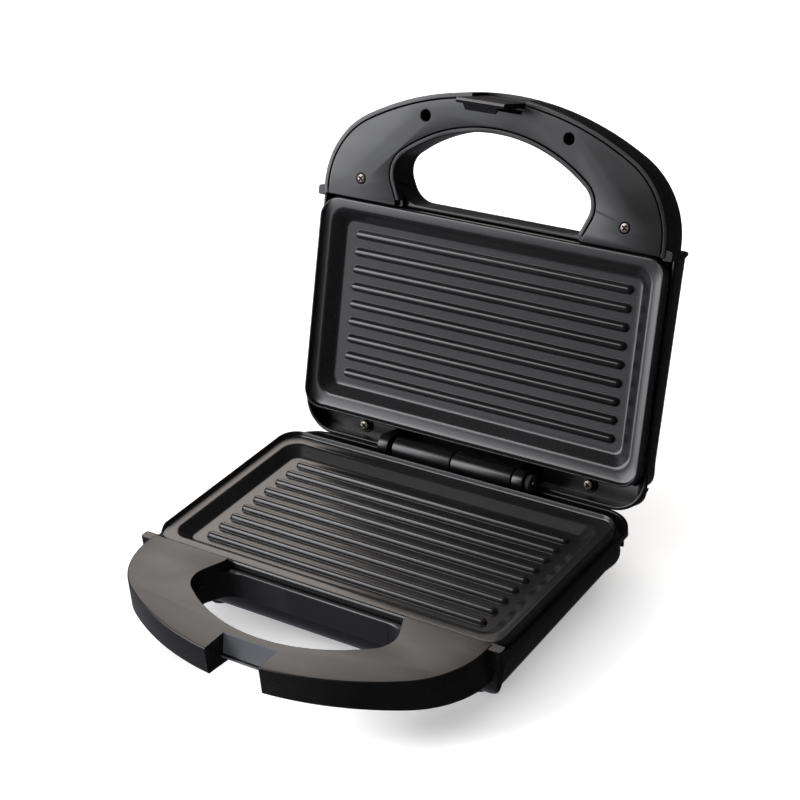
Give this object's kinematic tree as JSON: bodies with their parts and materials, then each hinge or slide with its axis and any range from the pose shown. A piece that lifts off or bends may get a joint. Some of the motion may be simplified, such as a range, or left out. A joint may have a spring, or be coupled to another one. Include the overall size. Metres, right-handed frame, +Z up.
{
  "type": "panini press",
  "caption": "Clamshell sandwich grill, lid open: two ribbed non-stick plates in a black plastic housing with looped handles, a swinging latch clip and rubber feet.",
  "frame": {"origin": "on the floor under the middle of the opened press, in its plane of symmetry", "axes": "+X to the press's right as seen by the user in front of it, +Y backwards from the handles to the hinge, +Z up"},
  "size_m": [0.228, 0.2844, 0.2432],
  "materials": {
    "housing": "satin black moulded plastic, fine texture",
    "plate": "satin dark grey non-stick coating, fine grain",
    "element": "dark heat-tinted steel sheath",
    "reflector": "bare sheet",
    "rubber": "matt black",
    "steel": "plated screw steel",
    "phenolic": "dark brown phenolic",
    "red_lens": "translucent red",
    "green_lens": "translucent green",
    "lamp": "neon lamp envelope"
  },
  "bodies": {
    "base": {"base_housing": "housing", "base_handle_cover_left": "housing", "base_handle_cover_right": "housing", "base_cooking_plate": "plate", "base_heating_element": "element", "base_reflector": "reflector", "foot_front_left": "rubber", "foot_rear_left": "rubber", "foot_front_right": "rubber", "foot_rear_right": "rubber", "base_plate_screw_front_left": "steel", "base_plate_screw_rear_left": "steel", "base_plate_screw_front_right": "steel", "base_plate_screw_rear_right": "steel", "base_cover_screw_left": "steel", "base_cover_screw_right": "steel", "base_rear_screw_left": "steel", "base_rear_screw_right": "steel", "hinge_pin": "steel", "thermostat": "phenolic", "thermal_fuse": "reflector", "terminal_block": "phenolic", "cord_gland": "rubber"},
    "lid": {"lid_housing": "housing", "lid_handle_cover": "housing", "lid_cooking_plate": "plate", "lid_heating_element": "element", "lid_reflector": "reflector", "lid_cover_screw_left": "steel", "lid_cover_screw_right": "steel", "lid_rear_screw_left": "steel", "lid_rear_screw_right": "steel", "lens_red": "red_lens", "lamp_red": "lamp", "lens_green": "green_lens", "lamp_green": "lamp", "latch_pin": "steel"},
    "latch": {"latch": "housing"}
  },
  "joints": [
    {"name": "lid_hinge", "type": "hinge", "parent": "base", "child": "lid", "pos_m": [0, 0.06145, 0.0461], "axis": [1, 0, 0], "range_deg": [0, 108.26]},
    {"name": "latch_hinge", "type": "hinge", "parent": "lid", "child": "latch", "pos_m": [0, 0.13485, 0.23059], "axis": [1, 0, 0], "range_deg": [0, 14.4]}
  ]
}
